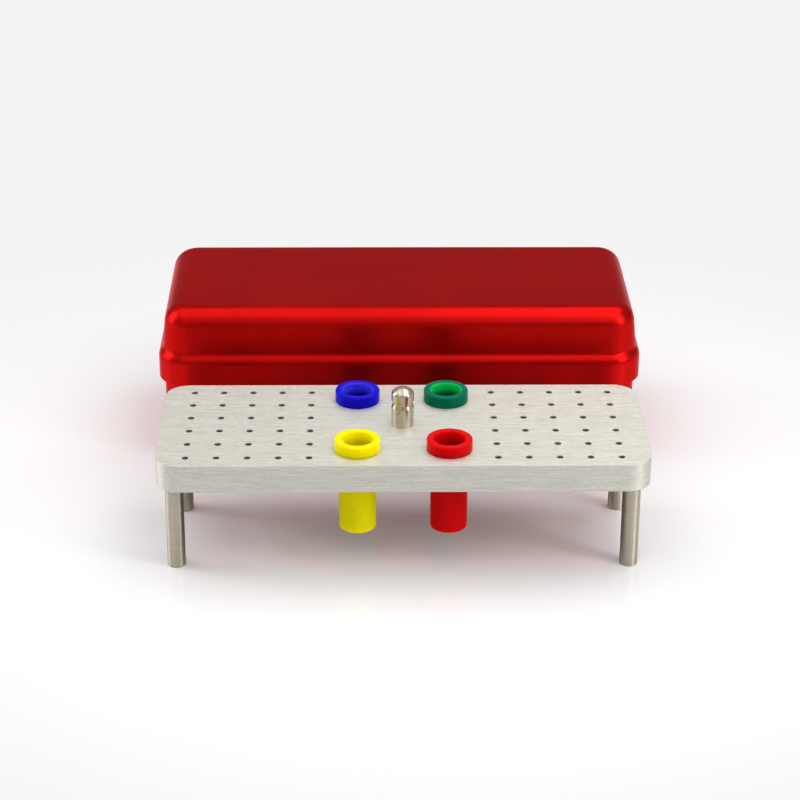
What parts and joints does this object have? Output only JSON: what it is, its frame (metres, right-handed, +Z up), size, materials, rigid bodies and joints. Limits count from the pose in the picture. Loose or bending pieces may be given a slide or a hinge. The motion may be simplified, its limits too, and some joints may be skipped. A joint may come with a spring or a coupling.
{
  "type": "endodontic box",
  "caption": "Slip-lid aluminium box with a removable stand on legs that holds root canal files and hanging cups, lifted by a central knob.",
  "frame": {"origin": "centre of the tray's underside, on the floor under the middle of the closed box", "axes": "+X along the box, +Y from the file stand towards the box and beyond, +Z up"},
  "size_m": [0.1722, 0.158, 0.0584],
  "materials": {
    "red_anodised": "satin, dyed red anodising",
    "brushed_aluminium": "brushed along its length",
    "turned_stainless": "fine turned",
    "cup_blue": "smooth, slightly translucent",
    "cup_green": "smooth, slightly translucent",
    "cup_yellow": "smooth",
    "cup_red": "smooth"
  },
  "bodies": {
    "base": {"base_tray": "red_anodised"},
    "lid": {"lid": "red_anodised"},
    "stand": {"file_plate": "brushed_aluminium", "leg_front_left": "turned_stainless", "leg_front_right": "turned_stainless", "leg_rear_left": "turned_stainless", "leg_rear_right": "turned_stainless", "lifting_knob": "turned_stainless"},
    "cup_blue": {"cup_blue": "cup_blue"},
    "cup_green": {"cup_green": "cup_green"},
    "cup_yellow": {"cup_yellow": "cup_yellow"},
    "cup_red": {"cup_red": "cup_red"}
  },
  "joints": [
    {"name": "lid_lift", "type": "slide", "parent": "base", "child": "lid", "axis": [0, 0, 1], "range_m": [0, 0.06]},
    {"name": "stand_lift", "type": "slide", "parent": "base", "child": "stand", "axis": [0, 0, 1], "range_m": [0, 0.08]},
    {"name": "cup_blue_lift", "type": "slide", "parent": "stand", "child": "cup_blue", "axis": [0, 0, 1], "range_m": [0, 0.035]},
    {"name": "cup_green_lift", "type": "slide", "parent": "stand", "child": "cup_green", "axis": [0, 0, 1], "range_m": [0, 0.035]},
    {"name": "cup_yellow_lift", "type": "slide", "parent": "stand", "child": "cup_yellow", "axis": [0, 0, 1], "range_m": [0, 0.035]},
    {"name": "cup_red_lift", "type": "slide", "parent": "stand", "child": "cup_red", "axis": [0, 0, 1], "range_m": [0, 0.035]}
  ]
}
